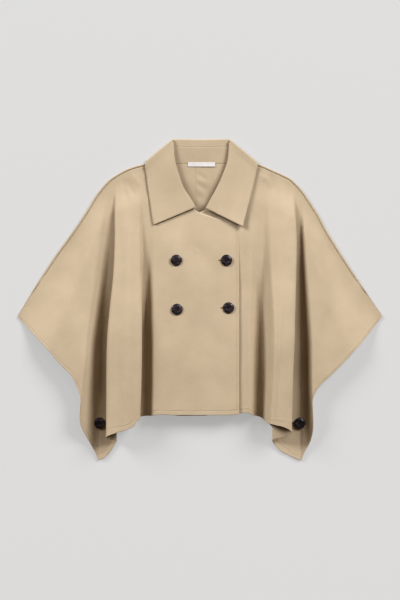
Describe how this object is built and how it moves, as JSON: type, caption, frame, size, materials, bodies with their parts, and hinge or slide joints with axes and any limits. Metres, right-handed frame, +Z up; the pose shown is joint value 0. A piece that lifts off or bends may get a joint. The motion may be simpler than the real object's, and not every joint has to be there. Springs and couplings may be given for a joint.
{
  "type": "trench cape",
  "caption": "Short double-breasted trench cape laid flat, with a folded shirt collar, a wide sleeve on each side and a button closing each underarm corner.",
  "frame": {"origin": "centre of the bounding box's bottom face, on the surface that the cape lies on", "axes": "+Z up from the surface, +Y towards the neck, +X towards the viewer's right, which is the wearer's left"},
  "size_m": [0.9112, 0.8075, 0.0622],
  "materials": {
    "gabardine": "matte camel cotton twill",
    "ribbon": "smooth white woven tape",
    "horn": "polished near-black horn"
  },
  "bodies": {
    "root": {"back_left": "gabardine", "back_right": "gabardine", "front_right": "gabardine", "front_left": "gabardine", "collar_fall": "gabardine", "collar_stand": "gabardine", "neck_label": "ribbon", "button_front_1": "horn", "button_front_2": "horn", "button_front_3": "horn", "button_front_4": "horn", "button_side_left": "horn", "button_side_right": "horn"}
  },
  "joints": []
}
